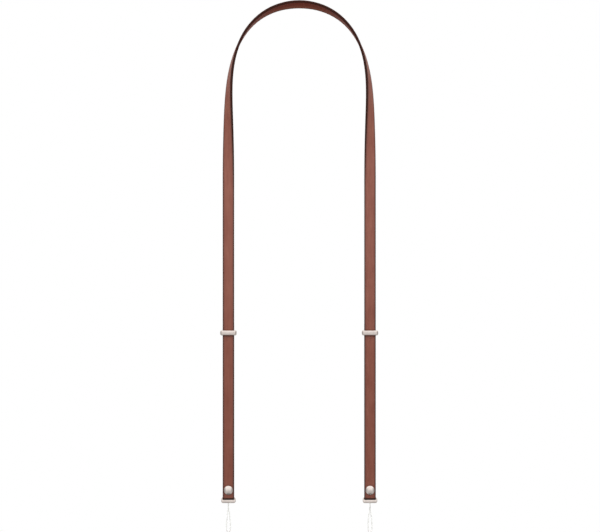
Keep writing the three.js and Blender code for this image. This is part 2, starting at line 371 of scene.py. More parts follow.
@dataclass(frozen=True)
class Station:
    """One place on a sweep: where the outline stands, how it faces and its size.

    The outline's width lies along side, its height along face, and the sweep goes on along
    side x face.
    """

    middle: Vector
    side: Vector
    face: Vector
    width: float = 1.0
    height: float = 1.0

    @property
    def ahead(self) -> Vector:
        """Return the way that the sweep goes on."""
        return self.side.cross(self.face)

    @property
    def turn(self) -> Matrix:
        """Return the rotation that takes the XY outline to this place."""
        return Matrix((self.side, self.face, self.ahead)).transposed()


def sweep(
    name: str, outline: Outline | Domed, stations: Sequence[Station], joined: bool = False
) -> Piece:
    """Extrude an outline from station to station.

    Args:
        name: the piece's name.
        outline: the outline, drawn at the first station's size.
        stations: the places in order.
        joined: True if the last station goes on to the first, as in a ring.

    Returns:
        The piece, open for editing.
    """
    obj = outline.draw(name)
    start = stations[0]
    turn_selected(start.turn, Vector())
    bpy.ops.transform.translate(value=start.middle)
    route = [*stations, start] if joined else stations
    for before, after in pairwise(route):
        bpy.ops.mesh.extrude_region_move(
            TRANSFORM_OT_translate={"value": after.middle - before.middle}
        )
        across = after.width / before.width
        up = after.height / before.height
        if abs(across - 1) + abs(up - 1) < 1e-6:
            turn_selected(after.turn @ before.turn.inverted(), after.middle)
        else:
            turn_selected(before.turn.inverted(), after.middle)
            resize_selected(across, up, after.middle)
            turn_selected(after.turn, after.middle)
    if joined:
        reach = 0.01 * MM

        def is_end(face: bpy.types.MeshPolygon) -> bool:
            away = face.center - start.middle
            return abs(face.normal.dot(start.ahead)) > 0.99 and abs(away.dot(start.ahead)) < reach

        pick(obj, "FACE", is_end)
        bpy.ops.mesh.delete(type="FACE")
        bpy.ops.mesh.select_all(action="SELECT")
        bpy.ops.mesh.remove_doubles(threshold=reach)
    return obj


def smooth_route(points: Sequence[Vector], count: int) -> list[Vector]:
    """Return places at even steps on a smooth curve through some points.

    Args:
        points: the points that the curve goes through.
        count: how many steps the curve is divided into.

    Returns:
        count + 1 places.
    """
    fine: list[Vector] = []
    ends = [2 * points[0] - points[1], *points, 2 * points[-1] - points[-2]]
    for a, b, c, d in zip(ends, ends[1:], ends[2:], ends[3:]):
        first = math.sqrt((b - a).length)
        second = first + math.sqrt((c - b).length)
        third = second + math.sqrt((d - c).length)
        for share in evenly(0, 1, 12)[:-1]:
            at = first + share * (second - first)
            ab = a.lerp(b, at / first)
            bc = b.lerp(c, (at - first) / (second - first))
            cd = c.lerp(d, (at - second) / (third - second))
            abc = ab.lerp(bc, at / second)
            bcd = bc.lerp(cd, (at - first) / (third - first))
            fine.append(abc.lerp(bcd, (at - first) / (second - first)))
    fine.append(points[-1].copy())
    reached = running_length(fine)
    places = []
    index = 0
    for wanted in evenly(0, reached[-1], count):
        while index < len(fine) - 2 and reached[index + 1] < wanted:
            index += 1
        span = reached[index + 1] - reached[index]
        places.append(fine[index].lerp(fine[index + 1], min(1, (wanted - reached[index]) / span)))
    return places


# ---------------------------------------------------------------- finishes


@dataclass
class NodeSheet:
    """A node tree with short calls for the nodes that the finishes and the room need."""

    tree: bpy.types.NodeTree

    def join(self, source: object, target: Socket) -> None:
        """Link a socket to an input, or set the input to a plain value."""
        if isinstance(source, Socket):
            self.tree.links.new(source, target)
        else:
            target.default_value = source

    def add(
        self, kind: str, inputs: dict[str | int, object] | None = None, **settings: object
    ) -> bpy.types.Node:
        """Add a node, and link or set its inputs.

        Args:
            kind: the node's type, without the start that all shader nodes share.
            inputs: a socket or a plain value for each input that isn't left as it is.
            **settings: values for the node's own properties.

        Returns:
            The node.
        """
        node = self.tree.nodes.new(f"ShaderNode{kind}")
        for key, value in settings.items():
            setattr(node, key, value)
        for key, source in (inputs or {}).items():
            self.join(source, node.inputs[key])
        return node

    def attribute(self, name: str, output: str = "Vector") -> Socket:
        """Return an output of one of the piece's own attributes."""
        return self.add("Attribute", attribute_name=name).outputs[output]

    def object_place(self) -> Socket:
        """Return the place on the piece in object coordinates."""
        return self.add("TexCoord").outputs["Object"]

    def math(self, operation: str, one: object, other: object = 0.0) -> Socket:
        """Return the result of a sum on one or two values."""
        return self.add("Math", {0: one, 1: other}, operation=operation).outputs["Value"]

    def plus(self, one: object, other: object) -> Socket:
        """Return the sum of two values."""
        return self.math("ADD", one, other)

    def minus(self, one: object, other: object) -> Socket:
        """Return one value less another."""
        return self.math("SUBTRACT", one, other)

    def times(self, one: object, other: object) -> Socket:
        """Return the product of two values."""
        return self.math("MULTIPLY", one, other)

    def stretched(self, vector: object, scale: Triple) -> Socket:
        """Return a vector multiplied along each axis."""
        inputs = {"Vector": vector, "Scale": scale}
        return self.add("Mapping", inputs, vector_type="POINT").outputs["Vector"]

    def shifted(self, vector: object, share: object, reach: float) -> Socket:
        """Return a vector moved along all axes by a share of 0 to 1 times a reach."""
        inputs = {0: vector, 1: self.times(share, reach)}
        return self.add("VectorMath", inputs, operation="ADD").outputs["Vector"]

    def split(self, vector: object) -> list[Socket]:
        """Return the X, Y and Z of a vector."""
        return list(self.add("SeparateXYZ", {"Vector": vector}).outputs)

    def ramp(
        self, value: object, start: float, end: float, low: float = 0.0, high: float = 1.0
    ) -> Socket:
        """Return a smooth step of a value.

        Args:
            value: the value that drives the step.
            start: where the step starts.
            end: where it ends.
            low: the result at the start.
            high: the result at the end.

        Returns:
            The stepped value's socket.
        """
        inputs = {"From Min": start, "From Max": end, "To Min": low, "To Max": high, "Value": value}
        return self.add("MapRange", inputs, interpolation_type="SMOOTHSTEP").outputs["Result"]

    def grey(self, value: object, stops: Stops) -> Socket:
        """Return a grey that follows stops of place and brightness."""
        node = self.add("ValToRGB", {"Fac": value})
        elements = node.color_ramp.elements
        while len(elements) < len(stops):
            elements.new(0.5)
        for element, (at, level) in zip(elements, stops):
            element.position = at
            element.color = (level, level, level, 1)
        return node.outputs["Color"]

    def noise(self, vector: object, scale: float, detail: float = 2.0) -> Socket:
        """Return cloudy noise, 0 to 1, with about scale clouds in a metre."""
        inputs = {"Vector": vector, "Scale": scale, "Detail": detail}
        return self.add("TexNoise", inputs).outputs["Fac"]

    def cells(self, vector: object, scale: float, feature: str) -> Socket:
        """Return the distance in a pattern of cells, about scale cells in a metre."""
        inputs = {"Vector": vector, "Scale": scale}
        return self.add("TexVoronoi", inputs, feature=feature).outputs["Distance"]

    def blend(self, share: object, one: object, other: object) -> Socket:
        """Return a mix of two colours: the first at share 0, the second at share 1."""
        one, other = (c if isinstance(c, Socket) else (*c, 1) for c in (one, other))
        inputs = {"Factor": share, 6: one, 7: other}
        return self.add("Mix", inputs, data_type="RGBA").outputs[2]


@dataclass
class SurfaceSheet(NodeSheet):
    """The node tree of a new material, which starts with one Principled shader."""

    name: str
    tree: bpy.types.NodeTree = field(init=False)
    material: bpy.types.Material = field(init=False)
    shader: bpy.types.Node = field(init=False)

    def __post_init__(self) -> None:
        """Start the material."""
        self.material = empty_material(self.name)
        self.tree = self.material.node_tree
        self.shader = self.add("BsdfPrincipled")
        self.add("OutputMaterial", {"Surface": self.shader.outputs["BSDF"]})

    def bump(self, height: object, distance: float) -> None:
        """Raise the surface by a height of 0 to 1 times a distance in metres."""
        node = self.add("Bump", {"Distance": distance, "Height": height})
        self.join(node.outputs["Normal"], self.shader.inputs["Normal"])

    def set(self, **values: object) -> None:
        """Set or link the shader's inputs, with _ for a space in their names."""
        for key, value in values.items():
            if isinstance(value, tuple) and len(value) == 3:
                value = (*value, 1)
            self.join(value, self.shader.inputs[key.replace("_", " ")])


def empty_material(name: str) -> bpy.types.Material:
    """Return a new material with no nodes."""
    material = bpy.data.materials.new(name)
    material.use_nodes = True
    material.node_tree.nodes.clear()
    return material


@dataclass(frozen=True)
class LeatherFinish:
    """Smooth brown leather with a fine grain, a creased border and dark painted edges.

    It reads three attributes of the strap: cut, its place on the leather as cut (across, along
    and through, in metres), rim, its distance from the nearest cut edge, and bend, its distance
    along the leather from the fold, where the edge paint's colour is laid on as painted shade.
    The reverse side is plainer and deeper in tone, with painted light and shade across it: deeper
    towards one edge, lighter towards the other. Both tones of the face go over to their shaded
    ones between low_from and low_to, in metres from the crown: painted shade for light that
    falls off down the legs.
    """

    light: Colour = screen_colour(125, 76, 62)
    deep: Colour = screen_colour(112, 62, 50)
    # The face's tones in painted shade, lower down the legs between low_from and low_to.
    shaded_light: Colour = screen_colour(119, 69, 55)
    shaded_deep: Colour = screen_colour(107, 56, 42)
    reverse: Colour = screen_colour(118, 50, 34)
    # The reverse's lighter tone, painted light towards one edge of the crown's underside.
    reverse_painted_lit: Colour = screen_colour(142, 79, 60)
    border: Colour = screen_colour(84, 48, 40)
    # paint is the edge paint's colour; it is also laid on as painted shade in the fold.
    paint: Colour = screen_colour(42, 17, 10)
    paint_reach: float = 0.85 * MM
    crease_at: float = 1.9 * MM
    crease_width: float = 0.22 * MM
    crease_tone: float = 0.35
    # Painted shade in the fold: how far it reaches and how dark it is, in the edge paint's colour.
    fold_shade_reach: float = 0.4 * MM
    fold_shade_tone: float = 0.85
    low_from: float = 0.3
    low_to: float = 0.45
    face_gloss: float = 0.38
    reverse_gloss: float = 0.16
    paint_gloss_share: float = 0.45
    relief: float = 0.05 * MM

    def make(self) -> bpy.types.Material:
        """Build and return the leather's material."""
        sheet = SurfaceSheet("brown_leather")
        cut = sheet.attribute("cut")
        rim = sheet.attribute("rim", "Fac")
        across, along, through = sheet.split(cut)
        clouds = sheet.noise(cut, 45, 3)
        streaks = sheet.noise(sheet.stretched(cut, (1, 0.12, 1)), 520, 2)
        bent = sheet.shifted(cut, sheet.noise(cut, 700, 2), 0.25 * MM)
        pores = sheet.cells(bent, 3600, "SMOOTH_F1")
        pebbles = sheet.cells(bent, 1900, "DISTANCE_TO_EDGE")
        tone = sheet.plus(*(sheet.ramp(part, 0.3, 0.7, 0, 0.5) for part in (clouds, streaks)))
        # Painted shade: the face darkens from low_from to low_to down the legs, standing in for the
        # light's falloff.
        lower = sheet.ramp(sheet.math("ABSOLUTE", along), self.low_from, self.low_to)
        deep = sheet.blend(lower, self.deep, self.shaded_deep)
        face = sheet.blend(tone, deep, sheet.blend(lower, self.light, self.shaded_light))
        back = sheet.ramp(through, -0.2 * MM, 0.2 * MM, 1, 0)
        # Painted light and shade on the reverse: deeper towards one edge, lighter towards the
        # other.
        painted_shade_across = sheet.ramp(across, -2 * MM, 5 * MM)
        face = sheet.blend(back, face, sheet.blend(painted_shade_across, self.reverse, self.reverse_painted_lit))
        face = sheet.blend(sheet.ramp(pebbles, 0.0, 0.1, 0.25, 0), face, deep)
        near = sheet.plus(rim, sheet.times(sheet.noise(cut, 240, 1), 0.12 * MM))
        border = sheet.ramp(near, self.paint_reach, 1.2 * self.crease_at, 0.9, 0)
        face = sheet.blend(border, face, self.border)
        off_crease = sheet.math("ABSOLUTE", sheet.minus(rim, self.crease_at))
        crease = sheet.ramp(off_crease, 0, self.crease_width, 1, 0)
        face = sheet.blend(sheet.times(crease, self.crease_tone), face, self.paint)
        # Painted shade: the leather darkens towards the edge paint's colour in the fold over the
        # ring's bar.
        bend = sheet.ramp(sheet.attribute("bend", "Fac"), 0, self.fold_shade_reach, self.fold_shade_tone, 0)
        face = sheet.blend(bend, face, self.paint)
        paint = sheet.ramp(near, self.paint_reach - 0.2 * MM, self.paint_reach, 1, 0)
        gloss = sheet.ramp(back, 0, 1, self.face_gloss, self.reverse_gloss)
        sheet.set(
            Base_Color=sheet.blend(paint, face, self.paint),
            Roughness=sheet.plus(sheet.ramp(tone, 0, 1, 0.56, 0.48), sheet.times(paint, 0.1)),
            Specular_IOR_Level=sheet.times(
                gloss, sheet.ramp(paint, 0, 1, 1, self.paint_gloss_share)
            ),
        )
        grain = sheet.plus(sheet.ramp(pebbles, 0, 0.25, 0, 0.5), sheet.times(pores, 0.35))
        grain = sheet.times(grain, sheet.ramp(paint, 0, 1, 1, 0.1))
        sheet.bump(sheet.minus(grain, sheet.times(crease, 1.2)), self.relief)
        return sheet.material


@dataclass(frozen=True)
class MetalFinish:
    """Polished, slightly warm silver metal with faint handling marks."""

    bright: Colour = screen_colour(253, 243, 237)
    dull: Colour = screen_colour(240, 230, 224)
    roughness: float = 0.13

    def make(self) -> bpy.types.Material:
        """Build and return the metal's material."""
        sheet = SurfaceSheet("polished_metal")
        place = sheet.object_place()
        cast = sheet.noise(place, 180, 2)
        marks = sheet.noise(sheet.stretched(place, (1, 1, 6)), 2600, 4)
        sheet.set(
            Base_Color=sheet.blend(sheet.ramp(cast, 0.35, 0.7), self.bright, self.dull),
            Metallic=1.0,
            Roughness=sheet.ramp(marks, 0.35, 0.7, self.roughness, self.roughness + 0.06),
        )
        sheet.bump(cast, 0.008 * MM)
        return sheet.material


@dataclass(frozen=True)
class CordFinish:
    """White braided cord. It reads the cord's attribute lay: turns round it and length along it."""

    thread: Colour = screen_colour(233, 234, 231)
    # gap is the braid's grooves, painted darker as shade between the strands.
    gap: Colour = screen_colour(220, 221, 218)
    strands_round: int = 6
    pitch: float = 1.5 * MM

    def make(self) -> bpy.types.Material:
        """Build and return the cord's material."""
        sheet = SurfaceSheet("white_cord")
        turns, along, _ = sheet.split(sheet.attribute("lay"))
        whole = 2 * math.pi
        round_part = sheet.times(turns, whole * self.strands_round)
        along_part = sheet.times(along, whole / self.pitch * 1.5)
        one = sheet.math("SINE", sheet.plus(round_part, along_part))
        other = sheet.math("SINE", sheet.minus(round_part, along_part))
        braid = sheet.ramp(sheet.math("MAXIMUM", one, other), -0.4, 0.9)
        fibres = sheet.noise(sheet.object_place(), 9000, 2)
        shade = sheet.plus(sheet.times(braid, 0.8), sheet.times(fibres, 0.2))
        sheet.set(
            # The base colour carries painted shade in the braid's grooves.
            Base_Color=sheet.blend(shade, self.gap, self.thread),
            Roughness=0.85,
            Sheen_Weight=0.25,
            Specular_IOR_Level=0.25,
        )
        sheet.bump(shade, 0.1 * MM)
        return sheet.material


@dataclass
class Finishes:
    """The part's three finishes, made once and shared by its pieces."""

    leather: bpy.types.Material = field(default_factory=lambda: LeatherFinish().make())
    metal: bpy.types.Material = field(default_factory=lambda: MetalFinish().make())
    cord: bpy.types.Material = field(default_factory=lambda: CordFinish().make())


def settle(
    obj: Piece, material: bpy.types.Material, slot: Slot, body: str, *nodes: str
) -> Piece:
    """Give a finished piece its material and its place in the frame.

    Args:
        obj: the piece.
        material: its finish.
        slot: the record's slot that the finish belongs to; not used.
        body: the body that it moves with.
        *nodes: the CAD nodes that it stands for.

    Returns:
        The piece.
    """
    obj.data.materials.clear()
    obj.data.materials.append(material)
    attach(obj, body)
    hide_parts(*nodes)
    low, high = span_in_mm(obj)
    log.info("%s: %d faces, from %s to %s", obj.name, len(obj.data.polygons), low, high)
    return obj


# ---------------------------------------------------------------- studio


@dataclass(frozen=True)
class Studio:
    """The camera, soft lights and pale surroundings.

    by_height is the room's light from straight below to straight above, and by_side is its share
    from the middle plane out to either side. floor_glow is the floor's own light from its middle
    to its rim.
    """

    camera_place: Triple = (0.0, -2.3074, -0.2741)
    lens: float = 131.68
    sensor: float = 36.0
    shift: float = 0.0013
    floor_drop: float = 0.9
    floor_radius: float = 2.6
    floor_glow: tuple[float, float] = (0.42, 0.8)
    dome_radius: float = 14.0
    air: Colour = (1.0, 0.98, 0.965)
    by_height: Stops = ((0.0, 0.14), (0.1, 0.46), (0.5, 0.7), (0.85, 0.94))
    by_side: Stops = ((0.0, 1.0), (0.45, 1.0), (0.62, 1.1), (0.82, 0.8), (1.0, 0.42))

    def build(self) -> None:
        """Put up the camera, the lights, the floor and the surroundings."""
        self._clear()
        self._camera()
        self._world()
        self._softbox("key", (0.0, -0.7, 0.26), (0, -0.55, -0.6), (2.6, 1.2), 24)
        self._softbox("fill", (0.0, 1.5, 0.3), (0, 0, -0.35), (2.0, 1.2), 16)
        self._floor()
        self._surroundings()

    def _clear(self) -> None:
        """Remove what a new file starts with."""
        for name in ("Cube", "Light", "Camera"):
            obj = bpy.data.objects.get(name)
            if obj is not None:
                bpy.data.objects.remove(obj)

    def _camera(self) -> None:
        """Stand the camera level in front of the strap."""
        data = bpy.data.cameras.new("camera")
        data.lens = self.lens
        data.sensor_width = self.sensor
        data.shift_x = self.shift
        data.clip_start = 0.05
        data.clip_end = 100
        turn = Euler((math.pi / 2, 0, 0))
        bpy.context.scene.camera = self._put_up("camera", data, self.camera_place, turn)
        bpy.context.scene.view_settings.view_transform = "Standard"

    @staticmethod
    def _put_up(name: str, data: bpy.types.ID, place: Triple, turn: Euler) -> Piece:
        """Put a camera or a light in its place."""
        obj = bpy.data.objects.new(name, data)
        obj.location = place
        obj.rotation_euler = turn
        bpy.context.scene.collection.objects.link(obj)
        return obj

    def _world(self) -> None:
        """Fill the room with soft light: bright overhead, dimmer at the sides and below."""
        world = bpy.data.worlds.new("room")
        world.use_nodes = True
        sheet = NodeSheet(world.node_tree)
        background = sheet.tree.nodes["Background"]
        background.inputs["Color"].default_value = (*self.air, 1)
        across, _, up = sheet.split(sheet.add("TexCoord").outputs["Generated"])
        rise = sheet.add("MapRange", {"From Min": -1, "Value": up}).outputs["Result"]
        by_height = sheet.grey(rise, self.by_height)
        by_side = sheet.grey(sheet.math("ABSOLUTE", across), self.by_side)
        sheet.join(sheet.times(by_height, by_side), background.inputs["Strength"])
        bpy.context.scene.world = world

    def _softbox(
        self, name: str, place: Triple, target: Triple, size: tuple[float, float], power: float
    ) -> None:
        """Hang a soft rectangular light that points at a place.

        Args:
            name: the light's name.
            place: where it hangs.
            target: what it points at.
            size: its width and height.
            power: in watts.
        """
        data = bpy.data.lights.new(name, "AREA")
        data.shape = "RECTANGLE"
        data.size, data.size_y = size
        data.energy = power
        turn = (Vector(target) - Vector(place)).to_track_quat("-Z", "Y").to_euler()
        light = self._put_up(name, data, place, turn)
        light.visible_camera = False
        light.visible_glossy = False

    def _floor(self) -> None:
        """Lay a pale floor well below the strap, which fades into the white surroundings.

        Its lit part and its own glow together stay just under white, so that the thin white cord
        still shows in front of it.
        """
        clear_selection()
        bpy.ops.mesh.primitive_circle_add(
            vertices=96,
            radius=self.floor_radius,
            fill_type="NGON",
            location=(0, 0, -self.floor_drop),
        )
        floor = bpy.context.object
        floor.name = "floor"
        sheet = SurfaceSheet("pale_floor")
        place = sheet.object_place()
        across, back, _ = sheet.split(place)
        squares = (sheet.math("POWER", part, 2.0) for part in (across, back))
        reach = sheet.math("SQRT", sheet.plus(*squares))
        speckle = sheet.noise(place, 14, 3)
        sheet.set(
            Base_Color=sheet.blend(speckle, (0.195, 0.195, 0.193), (0.205, 0.205, 0.202)),
            Roughness=0.8,
            Emission_Color=(1, 1, 1),
            Emission_Strength=sheet.ramp(reach, 0.2, self.floor_radius, *self.floor_glow),
        )
        floor.data.materials.append(sheet.material)
        floor.visible_diffuse = False
        floor.visible_glossy = False

    def _surroundings(self) -> None:
        """Set a plain white dome far round the strap, which is only seen and lights nothing."""
        clear_selection()
        bpy.ops.mesh.primitive_uv_sphere_add(
            segments=48, ring_count=24, radius=self.dome_radius
        )
        dome = bpy.context.object
        dome.name = "white_surroundings"
        material = empty_material("plain_white")
        sheet = NodeSheet(material.node_tree)
        sheet.add("OutputMaterial", {"Surface": sheet.add("Emission").outputs["Emission"]})
        dome.data.materials.append(material)
        dome.visible_diffuse = False
        dome.visible_glossy = False
        dome.visible_shadow = False
        dome.visible_transmission = False


# ---------------------------------------------------------------- strap


@dataclass(frozen=True)
class Row:
    """A row of a table: a value at a place."""

    at: float
    value: float


def table(*rows: tuple[float, float]) -> tuple[Row, ...]:
    """Return a table from pairs of a place and the value there."""
    return tuple(Row(*row) for row in rows)


def smooth_value(rows: Sequence[Row], at: float, mirror_sign: int = 1) -> float:
    """Read a table at a place, on a smooth curve through its rows.

    The curve goes on evenly before the first row, mirrored, and is level at the last.

    Args:
        rows: the table, in order.
        at: where it is read.
        mirror_sign: -1 if the value changes sign in the mirror.

    Returns:
        The value there.
    """
    place = min(max(at, rows[0].at), rows[-1].at)
    upper = next(i for i, row in enumerate(rows) if row.at >= place)
    upper = max(1, upper)
    mirrored = Row(2 * rows[0].at - rows[1].at, mirror_sign * rows[1].value)

    def steepness(index: int) -> float:
        if index == len(rows) - 1:
            return 0.0
        before = mirrored if index == 0 else rows[index - 1]
        after = rows[index + 1]
        return (after.value - before.value) / (after.at - before.at)

    low, high = rows[upper - 1], rows[upper]
    span = high.at - low.at
    t = (place - low.at) / span
    return (
        (1 + 2 * t) * (1 - t) ** 2 * low.value
        + t * t * (3 - 2 * t) * high.value
        + t * (1 - t) ** 2 * span * steepness(upper - 1)
        + t * t * (t - 1) * span * steepness(upper)
    )


@dataclass(frozen=True)
class Leather:
    """The leather strip's sizes in millimetres, as the CAD model has them."""

    width: float = 12.0
    thickness: float = 2.7
    fold_thickness: float = 1.3
    edge_radius: float = 0.7
    gap: float = 0.3
    bar_radius: float = 0.65
    bar_drop: float = 517.9
    snap_drop: float = 510.1
    keeper_drop: float = 345.3
    tail_lap: float = 14.0
    tip_length: float = 5.0
    tail_settles: float = 4.6
    lean_depth: float = 8.0
    lean_run: float = 170.0
    line_step: float = 0.5

    @property
    def half(self) -> float:
        """Return half of the full thickness."""
        return self.thickness / 2

    @property
    def fold_radius(self) -> float:
        """Return the inside radius of the fold."""
        return self.bar_radius + self.gap

    @property
    def bar_back(self) -> float:
        """Return how far the ring's bar stands behind the leg's middle plane."""
        return self.fold_radius + self.fold_thickness - self.half


CROWN_SLOPE = table(
    (0, 0), (25, 19.9), (50, 42.2), (75, 62.4), (100, 76.5), (125, 85.5),
    (150, 89.4), (175, 90), (205, 90), (240, 90),
)
CROWN_TURN = table(
    (0, 119.5), (25, 112), (50, 99.5), (75, 89), (100, 78.5), (125, 65),
    (150, 50), (175, 35), (205, 17), (240, 0),
)
PARING = table((0, 1.3), (3.5, 2), (12, 2), (26, 2.7))


@dataclass(frozen=True)
class CutPlace:
    """A station of the strap with its place on the leather as cut, in millimetres."""

    station: Station
    along: float
    from_end: float
    from_fold: float


@dataclass
class Strap:
    """The leather strip: over the crown, down both legs, round the rings and up behind.

    All sizes are in millimetres. press sizes are for the seat under the snap's cap, waist sizes
    for the mark under the keeper, and fold_shade_lag is how far inside the fold its shade begins.
    tip_rim is how far from a cut edge the end of the tip counts as being.
    """

    leather: Leather = field(default_factory=Leather)
    outline_steps: int = 4
    face_cuts: int = 9
    crown_step: float = 5.0
    leg_step: float = 9.0
    press_depth: float = 0.42
    press_reach: float = 2.3
    cap_radius: float = 4.65
    waist_depth: float = 0.3
    waist_reach: float = 1.5
    keeper_half: float = 2.2
    fold_shade_lag: float = 0.5
    press_inset: float = 0.3
    press_layer: float = 0.2
    tip_rim: float = 0.4
    tip_degrees: float = 87.0

    def __post_init__(self) -> None:
        """Trace the crown and find where the frame has the strap."""
        self.keeper_above = self.leather.bar_drop - self.leather.keeper_drop
        self.line = self._trace_crown()
        self.leg_across = self.line[-1][0]
        crown = self._crown_station(0)
        self.offset = -(crown.middle - crown.face * self.leather.half)

    def _slope(self, along: float) -> float:
        """Return how far the centre line points below level, in radians."""
        return math.radians(min(90, smooth_value(CROWN_SLOPE, along, -1)))

    def _trace_crown(self) -> list[tuple[float, float]]:
        """Follow the centre line from the crown to the straight leg.

        Returns:
            The distance across and down at each small step.
        """
        step = self.leather.line_step
        line = []
        across = down = 0.0
        for index in range(round(CROWN_SLOPE[-1].at / step) + 1):
            line.append((across, down))
            slope = self._slope(index * step + step / 2)
            across += math.cos(slope) * step
            down += math.sin(slope) * step
        return line

    def _lean(self, along: float) -> float:
        """Return how far the centre line stands back at a distance from the crown."""
        share = min(along / self.leather.lean_run, 1)
        return self.leather.lean_depth / 2 * (1 + math.cos(math.pi * share))

    def _crown_station(self, along: float) -> Station:
        """Return the strap's section at a distance from the crown, before the offset."""
        step = self.leather.line_step
        across, down = self.line[round(along / step)]
        slope = self._slope(along)
        lean_rate = (self._lean(along + step) - self._lean(abs(along - step))) / (2 * step)
        ahead = Vector((math.cos(slope), lean_rate, -math.sin(slope))).normalized()
        outside = Vector((math.sin(slope), 0, math.cos(slope)))
        turn = math.radians(smooth_value(CROWN_TURN, along))
        face = Vector((0, -math.cos(turn), 0)) + outside * math.sin(turn)
        face = (face - ahead * face.dot(ahead)).normalized()
        middle = Vector((across, self._lean(along), -down))
        return Station(middle, face.cross(ahead), face, self.leather.width, self.leather.thickness)

    def _leg_station(
        self, back: float, drop: float, ahead: Vector, thickness: float, width: float
    ) -> Station:
        """Return a section in a leg, from the way that the strap goes on there."""
        side = Vector((1, 0, 0))
        face = ahead.normalized().cross(side)
        return Station(Vector((self.leg_across, back, -drop)), side, face, width, thickness)

    def _front_station(self, above: float) -> Station:
        """Return a section of the front layer at a height over the ring's bar.

        The keeper has pressed a faint waist into the leather where it grips.
        """
        off_keeper = abs(above - self.keeper_above) - self.keeper_half
        waist = self.waist_depth * (1 - eased(off_keeper / self.waist_reach))
        thickness = smooth_value(PARING, above) - waist
        back = thickness / 2 - self.leather.half + waist
        drop = self.leather.bar_drop - above
        return self._leg_station(back, drop, Vector((0, 0, -1)), thickness, self.leather.width)

    def _fold_station(self, degrees: float) -> Station:
        """Return a section of the fold, from 0 degrees in front to 180 behind."""
        sizes = self.leather
        angle = math.radians(degrees)
        radius = sizes.fold_radius + sizes.fold_thickness / 2
        back = sizes.bar_back - radius * math.cos(angle)
        drop = sizes.bar_drop + radius * math.sin(angle)
        ahead = Vector((0, math.sin(angle), -math.cos(angle)))
        return self._leg_station(back, drop, ahead, sizes.fold_thickness, sizes.width)

    def tail_back(self, above: float) -> float:
        """Return how far the tail's middle stands behind the leg's middle plane."""
        sizes = self.leather
        layer_back = smooth_value(PARING, above) - sizes.half
        closed = sizes.fold_thickness - sizes.half + sizes.gap
        open_by = sizes.bar_back + sizes.fold_radius - closed
        settled = eased(above / sizes.tail_settles)
        return layer_back + sizes.gap + sizes.fold_thickness / 2 + open_by * (1 - settled)

    def _tail_station(self, above: float, width: float) -> Station:
        """Return a section of the tail at a height over the ring's bar."""
        reach = 0.2
        rise = self.tail_back(above + reach) - self.tail_back(above - reach)
        ahead = Vector((0, rise, 2 * reach))
        back, drop = self.tail_back(above), self.leather.bar_drop - above
        return self._leg_station(back, drop, ahead, self.leather.fold_thickness, width)

    def _front_heights(self) -> list[float]:
        """List the heights over the ring's bar where the front layer has a section.

        They stand close together at the keeper's waist and round the snap.

        Returns:
            The heights, from the top of the leg down.
        """
        top = self.leather.bar_drop - self.line[-1][1]
        grip = self.keeper_half + self.waist_reach
        upper, lower = self.keeper_above + grip, self.keeper_above - grip
        pared = PARING[-1].at
        return [
            *evenly(top, upper, round((top - upper) / self.leg_step))[1:],
            *evenly(upper, upper - self.waist_reach, 6)[1:],
            self.keeper_above,
            *evenly(lower + self.waist_reach, lower, 6),
            *evenly(lower, pared, round((lower - pared) / self.leg_step))[1:],
            *(23, 20.5, 18.5),
            *evenly(17, 0.8, 18),
        ]

    def _tail_stations(self) -> list[Station]:
        """List the tail's sections.

        Returns:
            The sections, from just above the ring's bar to the rounded tip.
        """
        sizes = self.leather
        snap = sizes.bar_drop - sizes.snap_drop
        top = sizes.bar_drop - sizes.keeper_drop + sizes.tail_lap
        tip_foot = top - sizes.tip_length
        pared = PARING[-1].at
        heights = [*evenly(0.5, 5, 9), *evenly(6, 2 * snap + 2, 10), 19, 22, pared]
        heights += evenly(pared, tip_foot, round((tip_foot - pared) / self.leg_step))[1:-1]
        stations = [self._tail_station(above, sizes.width) for above in heights]
        for degrees in evenly(0, self.tip_degrees, 15):
            angle = math.radians(degrees)
            above = top - sizes.tip_length * (1 - math.sin(angle))
            stations.append(self._tail_station(above, sizes.width * math.cos(angle)))
        return stations

    def _half_stations(self) -> list[CutPlace]:
        """List the sections from the crown to the tail's tip, in the shared frame.

        Returns:
            The places, each with its distance along the leather.
        """
        crown_end = CROWN_SLOPE[-1].at
        crown_places = evenly(0, crown_end, round(crown_end / self.crown_step))
        crown = [self._crown_station(along) for along in crown_places]
        front = [self._front_station(above) for above in self._front_heights()]
        fold = [self._fold_station(degrees) for degrees in evenly(0, 180, 18)]
        stations = [*crown, *front, *fold, *self._tail_stations()]
        reached = running_length([station.middle for station in stations])
        first_fold = len(crown) + len(front)
        fold_start = reached[first_fold] + self.fold_shade_lag
        fold_end = reached[first_fold + len(fold) - 1] - self.fold_shade_lag
        return [
            CutPlace(
                station=self._in_frame(station),
                along=along,
                from_end=reached[-1] - along,
                from_fold=max(fold_start - along, along - fold_end, 0),
            )
            for station, along in zip(stations, reached)
        ]

    def _in_frame(self, station: Station) -> Station:
        """Return a section moved to the shared frame and turned into metres."""
        middle = (station.middle + self.offset) * MM
        return Station(middle, station.side, station.face, station.width * MM, station.height * MM)

    def build(self, finishes: Finishes) -> Piece:
        """Model the strip, mark its leather and dress it.

        Args:
            finishes: the part's finishes.

        Returns:
            The finished strap.
        """
        sizes = self.leather
        places = self._half_stations()
        outline = Outline(
            sizes.width * MM,
            sizes.thickness * MM,
            sizes.edge_radius * MM,
            self.outline_steps,
            self.face_cuts,
        )
        obj = sweep("leather_strap", outline, [place.station for place in places])
        self._press_round_snap(obj, places)
        pick(obj, "FACE", self._is_at_crown)
        bpy.ops.mesh.delete(type="ONLY_FACE")
        close_edit(obj, 50)
        apply_modifier(obj, "MIRROR", merge_threshold=0.01 * MM)
        self._mirror_marks(obj)
        return settle(obj, finishes.leather, Slot.LEATHER, ROOT_BODY, "strap")

    @staticmethod
    def _is_at_crown(face: bpy.types.MeshPolygon) -> bool:
        """Tell whether a face closes the half strap on the middle plane."""
        return abs(face.center.x) < 0.001 * MM and abs(face.normal.x) > 0.99

